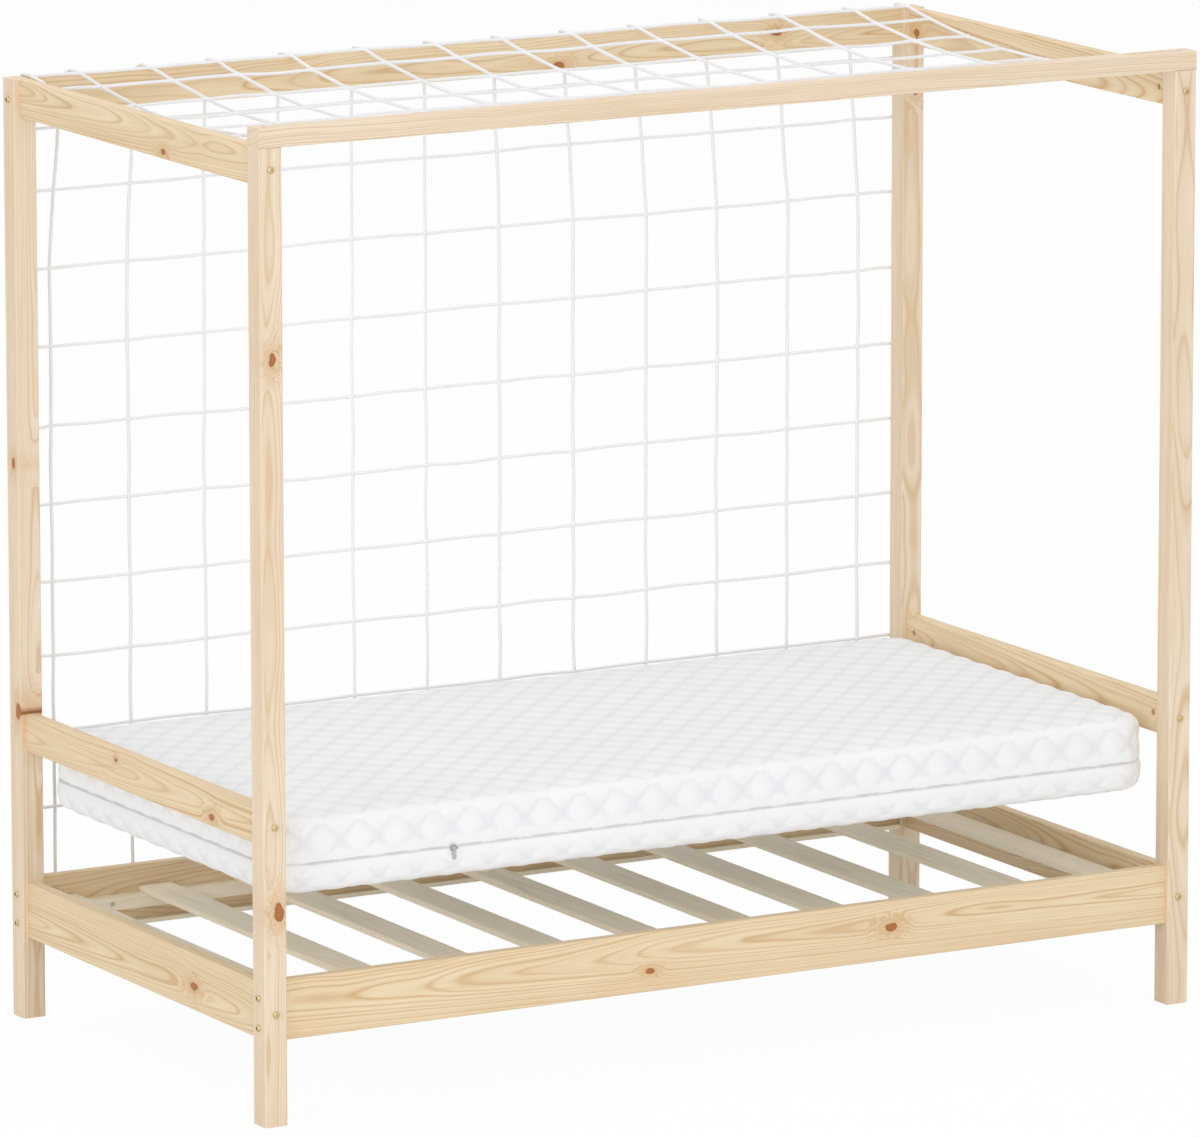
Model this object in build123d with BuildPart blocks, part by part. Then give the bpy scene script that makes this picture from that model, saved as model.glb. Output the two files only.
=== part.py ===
# House bed for a child: a canopy frame like a small football goal, with a rope net
# over its back and top, a slatted base and a zipped foam mattress.
# X runs along the bed, the open front faces -Y, Z is up and the floor is Z = 0.
# The mattress is drawn as photographed, held above its slats so that they show.
from build123d import *
import os

os.makedirs("parts", exist_ok=True)

# frame
frame_length = 1674
frame_width = 866
post_size = 39
post_height = 1514
bar_height = 30
bar_depth = 38
post_round = 2.5

# boards, all standing on edge between the posts
board_thickness = 20
side_thickness = 18
board_round = 2
board_foot = 132
side_rail_height = 95
rail_heights = {"bottom": 90, "middle": 60, "top": 60}
rail_feet = {"bottom": board_foot, "middle": 436, "top": post_height - 60}

# slatted base
slat_count = 10
slat_width = 58
slat_thickness = 10
slat_top = 193
slat_edge = 1.5
slat_margin = 12
slat_end_gap = 2
cleat_height = 22
cleat_depth = 20
lath_height = 7
lath_depth = 12

# fasteners
bolt_diameter = 6
bolt_hole = 6.6
bolt_length = 70
bolt_head_diameter = 11
bolt_head_height = 3.5
bolt_head_taper = 18
nut_diameter = 10
nut_length = 14
nut_sides = 8
head_sides = 10
small_sides = 6
nut_reach = 25
bolt_heights = {"bottom": 176, "middle": 468, "top": 1481}
hidden_top_bolt = 1465
side_bolt_heights = (153.5, 200.5)
screw_diameter = 4
screw_head_diameter = 8
screw_head_height = 2.2
bar_screw_length = 55
cleat_screw_length = 32
slat_screw_length = 29
screws_per_cleat = 5
dowel_diameter = 8
dowel_length = 36
dowel_offset = 11

# net
cord_size = 5
net_half_width = 804
inner_cords = 12
cord_pitch = 130
top_rows = 7
back_rows = 11
net_foot = 140
net_sag = 38
hook_count = 5
hook_spacing = 390
hook_wire = 3
hook_depth = 11
hook_turn = 9
bar_hook_height = 1519

# mattress
mattress_length = 1606
mattress_width = 798
mattress_corner = 70
mattress_foot = 346
mattress_crown = 470
zip_height = 395
zip_width = 5
zip_inset = 4
cover_wall = 10
core_inset = 12
core_height = 96
slider_x = -487.5
slider_length = 12
slider_height = 9
slider_corner = 1.5
slider_gap = 0.4
slider_thickness = 2.2
ear_spacing = 8.2
ear_thickness = 1.2
ear_height = 4
ear_reach = 5
pin_diameter = 1.6
pin_clearance = 0.1
pull_width = 6
pull_drop = 19
pull_thickness = 1
pull_corner = 1.5

# places worked out from the sizes above
post_x = (frame_length - post_size) / 2
post_y = (frame_width - post_size) / 2
end_span = frame_width - 2 * post_size
side_span = frame_length - 2 * post_size
clear_x = post_x - board_thickness / 2
clear_y = post_y - side_thickness / 2
bar_y = -frame_width / 2 + bar_depth / 2
canopy_height = post_height + bar_height
slat_foot = slat_top - slat_thickness
slat_pitch = (2 * clear_x - 2 * slat_margin - slat_width) / (slat_count - 1)
cleat_y = clear_y - cleat_depth / 2
cleat_z = slat_foot - cleat_height / 2
rail_bore_depth = bolt_length - post_size + 4
board_nut_bore = (board_thickness + nut_length + 1) / 2
side_nut_bore = (side_thickness + nut_length + 1) / 2
rail_back = post_y + side_thickness / 2
net_plane = frame_width / 2 + cord_size / 2 + 0.5
net_top = post_height + cord_size + 0.5
post_back_edge = end_span / 2
bar_hook_reach = cord_size + hook_wire / 2 + 1
net_front = bar_y + bar_depth / 2 + 0.5 + cord_size / 2
front_cord_top = bar_hook_height + hook_wire / 2 + cord_size + 1.5
rail_hook_height = net_foot + cord_size / 2 + hook_wire / 2 + 0.2
rail_hook_reach = net_plane + cord_size / 2 - rail_back + hook_wire / 2 + 0.5
sides = {"left": -1, "right": 1}
faces = {"front": -1, "back": 1}


def spread(count, pitch):
    return [(index - (count - 1) / 2) * pitch for index in range(count)]


# Small round things have few sides: a bar's corners and a hole's flats touch its circle.
def round_bar(diameter, sides=small_sides):
    RegularPolygon(diameter / 2, sides)


def round_hole(diameter, sides=small_sides, mode=Mode.ADD):
    RegularPolygon(diameter / 2, sides, major_radius=False, mode=mode)


def save(piece, name):
    piece.part.label = name
    export_step(piece.part, "parts/" + name + ".step")


slat_places = spread(slat_count, slat_pitch)
cleat_screw_places = spread(screws_per_cleat, 2 * slat_pitch)
hook_places = spread(hook_count, hook_spacing)

# Each screw's spot is a plane in the face that its head is flush with.
bar_spots = [Plane(origin=(x, -post_y, canopy_height)) for x in (-post_x, post_x)]
cleat_spots = {}
slat_spots = {}
for face, face_sign in faces.items():
    inner_face = face_sign * (clear_y - cleat_depth)
    cleat_spots[face] = [
        Plane(origin=(x, inner_face, cleat_z), z_dir=(0, -face_sign, 0)) for x in cleat_screw_places
    ]
    slat_spots[face] = [
        Plane(origin=(x, face_sign * cleat_y, slat_foot - cleat_height), z_dir=(0, 0, -1))
        for x in slat_places
    ]

# Corner posts. End-rail bolts cross them along Y, side-rail bolts along X.
for side, side_sign in sides.items():
    for face, face_sign in faces.items():
        end_heights = dict(bolt_heights)
        side_heights = list(side_bolt_heights)
        if face == "back":
            end_heights["top"] = hidden_top_bolt
            side_heights.append(bolt_heights["top"])
        with BuildPart() as post:
            with BuildSketch():
                with Locations((side_sign * post_x, face_sign * post_y)):
                    RectangleRounded(post_size, post_size, post_round)
            extrude(amount=post_height)
            with BuildSketch(Plane.XZ.offset(-face_sign * post_y)):
                with Locations([(side_sign * post_x, height) for height in end_heights.values()]):
                    round_hole(bolt_hole)
            extrude(amount=post_size / 2, both=True, mode=Mode.SUBTRACT)
            with BuildSketch(Plane.YZ.offset(side_sign * post_x)):
                with Locations([(face_sign * post_y, height) for height in side_heights]):
                    round_hole(bolt_hole)
            extrude(amount=post_size / 2, both=True, mode=Mode.SUBTRACT)
            if face == "front":
                with BuildSketch(Plane.XY.offset(post_height)):
                    with Locations((side_sign * post_x, -post_y)):
                        with GridLocations(2 * dowel_offset, 0, 2, 1):
                            round_hole(dowel_diameter, nut_sides)
                extrude(amount=-dowel_length / 2, mode=Mode.SUBTRACT)
                with BuildSketch(Plane.XY.offset(post_height)):
                    with Locations((side_sign * post_x, -post_y)):
                        round_hole(screw_diameter)
                extrude(amount=bar_height - bar_screw_length, mode=Mode.SUBTRACT)
        save(post, "post_" + face + "_" + side)

# Front crossbar, laid on the front posts and flush with their outer faces.
with BuildPart() as crossbar:
    with BuildSketch(Plane.YZ):
        with Locations((bar_y, post_height + bar_height / 2)):
            RectangleRounded(bar_depth, bar_height, post_round)
    extrude(amount=frame_length / 2, both=True)
    for spot in bar_spots:
        with BuildSketch(spot):
            round_hole(screw_head_diameter)
        with BuildSketch(spot.offset(-screw_head_height)):
            round_hole(screw_diameter)
        loft(mode=Mode.SUBTRACT)
        with BuildSketch(spot):
            round_hole(screw_diameter)
        extrude(amount=-bar_height, mode=Mode.SUBTRACT)
    with BuildSketch(Plane.XY.offset(post_height)):
        with Locations((-post_x, -post_y), (post_x, -post_y)):
            with GridLocations(2 * dowel_offset, 0, 2, 1):
                round_hole(dowel_diameter, nut_sides)
    extrude(amount=dowel_length / 2, mode=Mode.SUBTRACT)
    with BuildSketch(Plane.XZ.offset(-bar_y - bar_depth / 2)):
        with Locations([(x, bar_hook_height) for x in hook_places]):
            round_hole(hook_wire)
    extrude(amount=hook_depth, mode=Mode.SUBTRACT)
save(crossbar, "crossbar_front")

# End rails: each end of the bed has three, bolted between its posts.
for side, side_sign in sides.items():
    for level, height in rail_heights.items():
        foot = rail_feet[level]
        with BuildPart() as end_rail:
            with BuildSketch(Plane.XZ):
                with Locations((side_sign * post_x, foot + height / 2)):
                    RectangleRounded(board_thickness, height, board_round)
            extrude(amount=end_span / 2, both=True)
            for face, face_sign in faces.items():
                bolt_z = hidden_top_bolt if (level, face) == ("top", "back") else bolt_heights[level]
                nut_y = face_sign * (end_span / 2 - nut_reach)
                with BuildSketch(Plane.XZ.offset(-face_sign * end_span / 2)):
                    with Locations((side_sign * post_x, bolt_z)):
                        round_hole(bolt_hole)
                extrude(amount=face_sign * rail_bore_depth, mode=Mode.SUBTRACT)
                with BuildSketch(Plane.YZ.offset(side_sign * clear_x)):
                    with Locations((nut_y, bolt_z)):
                        round_hole(nut_diameter, nut_sides)
                extrude(amount=side_sign * board_nut_bore, mode=Mode.SUBTRACT)
        save(end_rail, "end_rail_" + level + "_" + side)

# Side rails, with pilot holes for their cleat's screws and the net's lower hooks.
for face, face_sign in faces.items():
    with BuildPart() as side_rail:
        with BuildSketch(Plane.YZ):
            with Locations((face_sign * post_y, board_foot + side_rail_height / 2)):
                RectangleRounded(side_thickness, side_rail_height, board_round)
        extrude(amount=side_span / 2, both=True)
        for side_sign in sides.values():
            nut_x = side_sign * (side_span / 2 - nut_reach)
            with BuildSketch(Plane.YZ.offset(side_sign * side_span / 2)):
                with Locations([(face_sign * post_y, bolt_z) for bolt_z in side_bolt_heights]):
                    round_hole(bolt_hole)
            extrude(amount=-side_sign * rail_bore_depth, mode=Mode.SUBTRACT)
            with BuildSketch(Plane.XZ.offset(-face_sign * clear_y)):
                with Locations([(nut_x, bolt_z) for bolt_z in side_bolt_heights]):
                    round_hole(nut_diameter, nut_sides)
            extrude(amount=-face_sign * side_nut_bore, mode=Mode.SUBTRACT)
        pilot_depth = cleat_screw_length - cleat_depth
        with BuildSketch(Plane.XZ.offset(-face_sign * clear_y)):
            with Locations([(x, cleat_z) for x in cleat_screw_places]):
                round_hole(screw_diameter)
        extrude(amount=-face_sign * pilot_depth, mode=Mode.SUBTRACT)
        if face == "back":
            with BuildSketch(Plane.XZ.offset(-post_y - side_thickness / 2)):
                with Locations([(x, rail_hook_height) for x in hook_places]):
                    round_hole(hook_wire)
            extrude(amount=hook_depth, mode=Mode.SUBTRACT)
    save(side_rail, "side_rail_" + face)

# Back top rail, the goal's rear bar: the net is drawn over it.
with BuildPart() as back_rail:
    with BuildSketch(Plane.YZ):
        with Locations((post_y, rail_feet["top"] + rail_heights["top"] / 2)):
            RectangleRounded(board_thickness, rail_heights["top"], board_round)
    extrude(amount=side_span / 2, both=True)
    for side_sign in sides.values():
        nut_x = side_sign * (side_span / 2 - nut_reach)
        with BuildSketch(Plane.YZ.offset(side_sign * side_span / 2)):
            with Locations((post_y, bolt_heights["top"])):
                round_hole(bolt_hole)
        extrude(amount=-side_sign * rail_bore_depth, mode=Mode.SUBTRACT)
        with BuildSketch(Plane.XZ.offset(-post_y - board_thickness / 2)):
            with Locations((nut_x, bolt_heights["top"])):
                round_hole(nut_diameter, nut_sides)
        extrude(amount=board_nut_bore, mode=Mode.SUBTRACT)
save(back_rail, "rail_top_back")

# Cleats screwed to the side rails' inner faces, for the slats to lie on.
for face, face_sign in faces.items():
    with BuildPart() as cleat:
        with BuildSketch(Plane.YZ):
            with Locations((face_sign * cleat_y, cleat_z)):
                Rectangle(cleat_depth, cleat_height)
        extrude(amount=side_span / 2 - slat_end_gap, both=True)
        for spot in cleat_spots[face] + slat_spots[face]:
            with BuildSketch(spot):
                round_hole(screw_head_diameter)
            with BuildSketch(spot.offset(-screw_head_height)):
                round_hole(screw_diameter)
            loft(mode=Mode.SUBTRACT)
            with BuildSketch(spot):
                round_hole(screw_diameter)
            extrude(amount=-cleat_height, mode=Mode.SUBTRACT)
    save(cleat, "slat_cleat_" + face)

# A thin lath runs along the foot of the back side rail's inner face.
with BuildPart() as lath:
    with BuildSketch(Plane.YZ):
        with Locations((clear_y - lath_depth / 2, board_foot + lath_height / 2)):
            Rectangle(lath_depth, lath_height)
    extrude(amount=side_span / 2 - slat_end_gap, both=True)
save(lath, "side_rail_lath")

# Slats, held by one screw at each end that comes up through the cleat.
slat_length = 2 * (clear_y - slat_end_gap)
slat_bite = slat_screw_length - cleat_height
for number, x in enumerate(slat_places, start=1):
    with BuildPart() as slat:
        with BuildSketch(Plane.XZ) as section:
            with Locations((x, slat_top - slat_thickness / 2)):
                Rectangle(slat_width, slat_thickness)
            chamfer(section.vertices(), slat_edge)
        extrude(amount=slat_length / 2, both=True)
        with BuildSketch(Plane.XY.offset(slat_foot)):
            with Locations((x, -cleat_y), (x, cleat_y)):
                round_hole(screw_diameter)
        extrude(amount=slat_bite, mode=Mode.SUBTRACT)
    save(slat, f"slat_{number:02d}")

# Barrel bolts: each has a tapered head outside its post and a shank that ends in a
# barrel nut inside the rail.
bolt_spots = {"end_rail_bolts": [], "side_rail_bolts": [], "back_rail_bolts": []}
nut_spots = {"end_rail_nuts": [], "side_rail_nuts": [], "back_rail_nuts": []}
for side_sign in sides.values():
    along = Vector(side_sign, 0, 0)
    for face, face_sign in faces.items():
        across = Vector(0, face_sign, 0)
        for level, height in bolt_heights.items():
            if (level, face) == ("top", "back"):
                height = hidden_top_bolt
            head_seat = Vector(side_sign * post_x, face_sign * frame_width / 2, height)
            bolt_spots["end_rail_bolts"].append(Plane(origin=head_seat, z_dir=across))
            nut_spot = head_seat - across * (post_size + nut_reach)
            nut_spots["end_rail_nuts"].append(Plane(origin=nut_spot, x_dir=across, z_dir=along))
        for height in side_bolt_heights:
            head_seat = Vector(side_sign * frame_length / 2, face_sign * post_y, height)
            bolt_spots["side_rail_bolts"].append(Plane(origin=head_seat, z_dir=along))
            nut_spot = head_seat - along * (post_size + nut_reach)
            nut_spots["side_rail_nuts"].append(Plane(origin=nut_spot, x_dir=along, z_dir=across))
    head_seat = Vector(side_sign * frame_length / 2, post_y, bolt_heights["top"])
    bolt_spots["back_rail_bolts"].append(Plane(origin=head_seat, z_dir=along))
    nut_spot = head_seat - along * (post_size + nut_reach)
    nut_spots["back_rail_nuts"].append(Plane(origin=nut_spot, x_dir=along, z_dir=Vector(0, 1, 0)))

for name, spots in bolt_spots.items():
    with BuildPart() as bolts:
        for spot in spots:
            with BuildSketch(spot):
                round_bar(bolt_head_diameter, head_sides)
            extrude(amount=bolt_head_height, taper=bolt_head_taper)
            with BuildSketch(spot):
                round_bar(bolt_diameter)
            extrude(amount=-bolt_length)
    save(bolts, name)

for name, spots in nut_spots.items():
    with BuildPart() as nuts:
        for spot in spots:
            with BuildSketch(spot):
                round_bar(nut_diameter, nut_sides)
            extrude(amount=nut_length / 2, both=True)
            with BuildSketch(Plane(origin=spot.origin, z_dir=spot.x_dir)):
                round_hole(bolt_diameter)
            extrude(amount=nut_diameter, both=True, mode=Mode.SUBTRACT)
    save(nuts, name)

# Crossbar fixings: two dowels and one countersunk screw into each front post.
with BuildPart() as dowels:
    with BuildSketch(Plane.XY.offset(post_height - dowel_length / 2)):
        with Locations((-post_x, -post_y), (post_x, -post_y)):
            with GridLocations(2 * dowel_offset, 0, 2, 1):
                round_bar(dowel_diameter, nut_sides)
    extrude(amount=dowel_length)
save(dowels, "crossbar_dowels")

screw_sets = {
    "crossbar_screws": (bar_screw_length, bar_spots),
    "cleat_screws": (cleat_screw_length, cleat_spots["front"] + cleat_spots["back"]),
    "slat_screws": (slat_screw_length, slat_spots["front"] + slat_spots["back"]),
}
for name, (length, spots) in screw_sets.items():
    with BuildPart() as screws:
        for spot in spots:
            with BuildSketch(spot.offset(-screw_head_height)):
                round_bar(screw_diameter)
            with BuildSketch(spot):
                round_bar(screw_head_diameter)
            loft()
            with BuildSketch(spot.offset(-screw_head_height)):
                round_bar(screw_diameter)
            extrude(amount=screw_head_height - length)
    save(screws, name)

# Cup hooks for the net: upturned behind the crossbar, downturned behind the side rail.
hook_rows = (
    (bar_y + bar_depth / 2, bar_hook_height, bar_hook_reach, 1),
    (rail_back, rail_hook_height, rail_hook_reach, -1),
)
with BuildPart() as hooks:
    for wood_face, height, reach, turn in hook_rows:
        for x in hook_places:
            with BuildSketch(Plane(origin=(x, wood_face - hook_depth, height), z_dir=(0, 1, 0))):
                round_bar(hook_wire)
            extrude(amount=hook_depth + reach)
            with BuildSketch(Plane(origin=(x, wood_face + reach, height), z_dir=(0, 0, turn))):
                round_bar(hook_wire)
            extrude(amount=hook_turn)
save(hooks, "net_hooks")

# Net. One cord runs down each side, and the twelve between them have a steady pitch.
# Over the bed it sags in a parabola from the back posts' tops to the crossbar's hooks,
# straight from knot to knot. Behind the posts it hangs straight to the side rail's hooks.
last_cord = cord_pitch * (inner_cords - 1) / 2
inner_gap = cord_pitch - cord_size
end_gap = net_half_width - last_cord - cord_size
end_gap_x = (net_half_width + last_cord) / 2
top_pitch = (net_plane - net_front) / top_rows
back_pitch = (net_top - 1.5 * cord_size - net_foot) / back_rows

def net_height(y):
    way = (post_back_edge - y) / (post_back_edge - net_front)
    return net_top + way * (front_cord_top - net_top) - 4 * net_sag * way * (1 - way)


net_line = [(net_plane + cord_size / 2, net_top), (post_back_edge, net_top)]
for row in range(1, top_rows):
    knot_y = net_plane - row * top_pitch
    net_line.append((knot_y, net_height(knot_y)))
net_line.append((net_front - cord_size / 2, front_cord_top))

with BuildPart() as top_net:
    with BuildSketch(Plane.YZ):
        with BuildLine():
            upper_line = Polyline(net_line)
            lower_line = Polyline([(y, z - cord_size) for y, z in net_line])
            Line(upper_line @ 0, lower_line @ 0)
            Line(upper_line @ 1, lower_line @ 1)
        make_face()
    extrude(amount=net_half_width + cord_size / 2, both=True)
    with BuildSketch(Plane.XY.offset(front_cord_top + cord_size)):
        with Locations((0, (net_plane + net_front) / 2)):
            with GridLocations(cord_pitch, top_pitch, inner_cords - 1, top_rows):
                Rectangle(inner_gap, top_pitch - cord_size)
            with GridLocations(2 * end_gap_x, top_pitch, 2, top_rows):
                Rectangle(end_gap, top_pitch - cord_size)
    extrude(amount=-2 * net_sag - 3 * cord_size, mode=Mode.SUBTRACT)
save(top_net, "net_top")

with BuildPart() as back_net:
    with BuildSketch(Plane.XZ.offset(-net_plane)):
        with Locations((0, net_foot + back_rows * back_pitch / 2)):
            Rectangle(2 * net_half_width + cord_size, back_rows * back_pitch + cord_size)
            with GridLocations(cord_pitch, back_pitch, inner_cords - 1, back_rows):
                Rectangle(inner_gap, back_pitch - cord_size, mode=Mode.SUBTRACT)
            with GridLocations(2 * end_gap_x, back_pitch, 2, back_rows):
                Rectangle(end_gap, back_pitch - cord_size, mode=Mode.SUBTRACT)
    extrude(amount=cord_size / 2, both=True)
save(back_net, "net_back")

# Mattress. The core is a plain slab of foam. Each half of its quilted cover is a stack
# of rounded rectangles, given by a height and an inset from the largest outline: the
# sides are drawn in at the zip, and the top is crowned.
upper_form = (
    (zip_height + zip_width / 2, zip_inset + 1),
    (zip_height + 22, 0),
    (mattress_crown - 18, 4),
    (mattress_crown, 60),
)
lower_form = (
    (mattress_foot, 26),
    (mattress_foot + 11, 2),
    (zip_height - zip_width / 2, zip_inset + 1),
)

with BuildPart() as core:
    with BuildSketch(Plane.XY.offset(mattress_foot + cover_wall)):
        RectangleRounded(
            mattress_length - 2 * core_inset,
            mattress_width - 2 * core_inset,
            mattress_corner - core_inset / 2,
        )
    extrude(amount=core_height)
save(core, "mattress_core")

for name, form in (("upper", upper_form), ("lower", lower_form)):
    with BuildPart() as cover:
        for height, inset in form:
            with BuildSketch(Plane.XY.offset(height)):
                RectangleRounded(mattress_length - 2 * inset, mattress_width - 2 * inset, mattress_corner - inset / 2)
        loft(ruled=True)
        add(core.part, mode=Mode.SUBTRACT)
    save(cover, "mattress_cover_" + name)

with BuildPart() as zip_band:
    with BuildSketch(Plane.XY.offset(zip_height - zip_width / 2)):
        for inset, mode in ((zip_inset, Mode.ADD), (core_inset, Mode.SUBTRACT)):
            RectangleRounded(
                mattress_length - 2 * inset,
                mattress_width - 2 * inset,
                mattress_corner - inset / 2,
                mode=mode,
            )
    extrude(amount=zip_width)
save(zip_band, "mattress_zip")

# Zip slider: a tapered plate in front of the closed zip, with two ears that hold the
# pull's pin, and a pull that hangs from it.
slider_back = -mattress_width / 2 + zip_inset - slider_gap
slider_front = slider_back - slider_thickness
with BuildPart() as slider:
    with BuildSketch(Plane.XZ.offset(-slider_back)) as outline:
        with Locations((slider_x, zip_height)):
            Trapezoid(slider_length, slider_height, 78)
        chamfer(outline.vertices(), slider_corner)
    extrude(amount=slider_thickness)
    with BuildSketch(Plane.XZ.offset(-slider_front)):
        with Locations((slider_x, zip_height)):
            with GridLocations(ear_spacing, 0, 2, 1):
                Rectangle(ear_thickness, ear_height)
    extrude(amount=ear_reach)
    with BuildSketch(Plane.YZ.offset(slider_x)):
        with Locations((slider_front - ear_reach / 2, zip_height)):
            round_bar(pin_diameter, nut_sides)
    extrude(amount=ear_spacing / 2, both=True)
save(slider, "zip_slider")

pin_y = slider_front - ear_reach / 2
with BuildPart() as pull:
    with BuildSketch(Plane.YZ.offset(slider_x)):
        with Locations((pin_y, zip_height)):
            round_bar(pin_diameter + 2 * pull_thickness, nut_sides)
        with Locations((pin_y, zip_height - pull_drop / 2)):
            Rectangle(pull_thickness, pull_drop)
        with Locations((pin_y, zip_height)):
            round_hole(pin_diameter + 2 * pin_clearance, nut_sides, mode=Mode.SUBTRACT)
    extrude(amount=pull_width / 2, both=True)
    tip_edges = pull.edges().filter_by(Axis.Y).group_by(Axis.Z)[0]
    chamfer(tip_edges, pull_corner)
save(pull, "zip_pull")
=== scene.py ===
import math

import bmesh
import bpy
from mathutils import Matrix, Vector
from mathutils.noise import noise


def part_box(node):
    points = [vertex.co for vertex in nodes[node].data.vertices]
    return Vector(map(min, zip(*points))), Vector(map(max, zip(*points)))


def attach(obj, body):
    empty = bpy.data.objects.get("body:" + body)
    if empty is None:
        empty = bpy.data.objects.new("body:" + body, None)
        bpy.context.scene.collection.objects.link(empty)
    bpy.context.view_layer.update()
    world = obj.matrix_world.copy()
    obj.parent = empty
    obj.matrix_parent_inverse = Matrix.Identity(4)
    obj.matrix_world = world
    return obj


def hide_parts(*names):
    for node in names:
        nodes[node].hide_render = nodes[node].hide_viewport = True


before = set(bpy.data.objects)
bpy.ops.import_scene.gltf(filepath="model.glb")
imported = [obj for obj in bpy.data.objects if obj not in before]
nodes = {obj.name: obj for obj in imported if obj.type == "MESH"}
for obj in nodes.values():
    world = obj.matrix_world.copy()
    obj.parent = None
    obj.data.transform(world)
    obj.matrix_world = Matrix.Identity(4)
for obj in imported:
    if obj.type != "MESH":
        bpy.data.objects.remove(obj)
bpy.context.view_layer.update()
print("house bed: frame loaded")


# Small helpers for materials, meshes and objects

screen = {
    "steps": 255,
    "knee": 0.04,
    "slope": 12.92,
    "offset": 0.055,
    "power": 2.4,
}


# A part of a screen colour, from 0 to 1, as the linear value that a shader takes
def linear(part, values):
    if part < values["knee"]:
        return part / values["slope"]
    return ((part + values["offset"]) / (1 + values["offset"])) ** values["power"]


def colour(red, green, blue):
    return tuple(linear(part / screen["steps"], screen) for part in (red, green, blue)) + (1.0,)


def darker(tint, share):
    return tuple(part * share for part in tint[:3]) + (1.0,)


def setInput(tree, socket, value):
    if isinstance(value, bpy.types.NodeSocket):
        tree.links.new(value, socket)
    else:
        socket.default_value = value


def addNode(tree, kind, inputs=None, **settings):
    made = tree.nodes.new("ShaderNode" + kind)
    for key, value in settings.items():
        setattr(made, key, value)
    for key, value in (inputs or {}).items():
        setInput(tree, made.inputs[key], value)
    return made


def calc(tree, operation, *values):
    made = addNode(tree, "Math", operation=operation)
    for index, value in enumerate(values):
        setInput(tree, made.inputs[index], value)
    return made.outputs[0]


def squared(tree, value):
    return calc(tree, "MULTIPLY", value, value)


def objectPlace(tree):
    return addNode(tree, "TexCoord").outputs["Object"]


def addNoise(tree, place, scale, detail):
    return addNode(tree, "TexNoise", {"Vector": place, "Scale": scale, "Detail": detail}).outputs[0]


def ramp(tree, factor, *stops):
    made = addNode(tree, "ValToRGB", {0: factor})
    for index, (place, tint) in enumerate(stops):
        stop = made.color_ramp.elements[index] if index < 2 else made.color_ramp.elements.new(place)
        stop.position = place
        stop.color = tint if isinstance(tint, tuple) else (tint, tint, tint, 1.0)
    return made.outputs[0]


def blendColours(tree, factor, under, over):
    made = addNode(tree, "Mix", data_type="RGBA")
    for key, value in ((0, factor), (6, under), (7, over)):
        setInput(tree, made.inputs[key], value)
    return made.outputs[2]


def newGroup(name, inputs, outputs):
    group = bpy.data.node_groups.new(name, "ShaderNodeTree")
    for side, sockets in (("INPUT", inputs), ("OUTPUT", outputs)):
        for label in sockets:
            kind = "Color" if label in ("Early", "Late", "Tint") else "Float"
            group.interface.new_socket(name=label, in_out=side, socket_type="NodeSocket" + kind)
    return group, group.nodes.new("NodeGroupInput").outputs, group.nodes.new("NodeGroupOutput").inputs


def newMaterial(name, **shaderValues):
    material = bpy.data.materials.new(name)
    material.use_nodes = True
    tree = material.node_tree
    shader = tree.nodes["Principled BSDF"]
    for key, value in shaderValues.items():
        shader.inputs[key.replace("_", " ")].default_value = value
    return material, tree, shader


def setTint(tree, shader, tint):
    tree.links.new(tint, shader.inputs["Base Color"])


def addBump(tree, shader, height, strength, distance):
    bump = addNode(tree, "Bump", {"Strength": strength, "Distance": distance, "Height": height})
    tree.links.new(bump.outputs[0], shader.inputs["Normal"])


def assign(piece, material):
    piece.data.materials.clear()
    piece.data.materials.append(material)


def makePiece(name, bm, material, body, smooth=True):
    mesh = bpy.data.meshes.new(name)
    bmesh.ops.recalc_face_normals(bm, faces=bm.faces)
    bm.to_mesh(mesh)
    bm.free()
    piece = bpy.data.objects.new(name, mesh)
    bpy.context.scene.collection.objects.link(piece)
    mesh.polygons.foreach_set("use_smooth", [smooth] * len(mesh.polygons))
    assign(piece, material)
    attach(piece, body)
    return piece


# Camera: a long lens far in front and to the left, as in the photograph

camera = {
    "place": (-8.0168, -14.1227, 3.8837),
    "turnRight": 0.520143,
    "lookDown": 0.186158,
    "focalPixels": 10396.8,
    "centrePixels": (640.57, 502.50),
    "photoPixels": (1200, 1137),
    "sensor": 36.0,
    "clipEnd": 100,
}


def makeCamera(values):
    width, height = values["photoPixels"]
    lens = bpy.data.cameras.new("camera")
    lens.sensor_width = values["sensor"]
    lens.lens = values["focalPixels"] / width * values["sensor"]
    lens.shift_x = (width / 2 - values["centrePixels"][0]) / width
    lens.shift_y = (values["centrePixels"][1] - height / 2) / width
    lens.clip_end = values["clipEnd"]
    eye = bpy.data.objects.new("camera", lens)
    eye.location = values["place"]
    eye.rotation_euler = (math.pi / 2 - values["lookDown"], 0, -values["turnRight"])
    bpy.context.scene.collection.objects.link(eye)
    bpy.context.scene.camera = eye


makeCamera(camera)
print("house bed: camera")


# Pine. Growth rings are cylinders round a pith that lies beside each board and is not
# quite parallel to it, so that they cut the faces in long arches. Knots push them aside.

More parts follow.
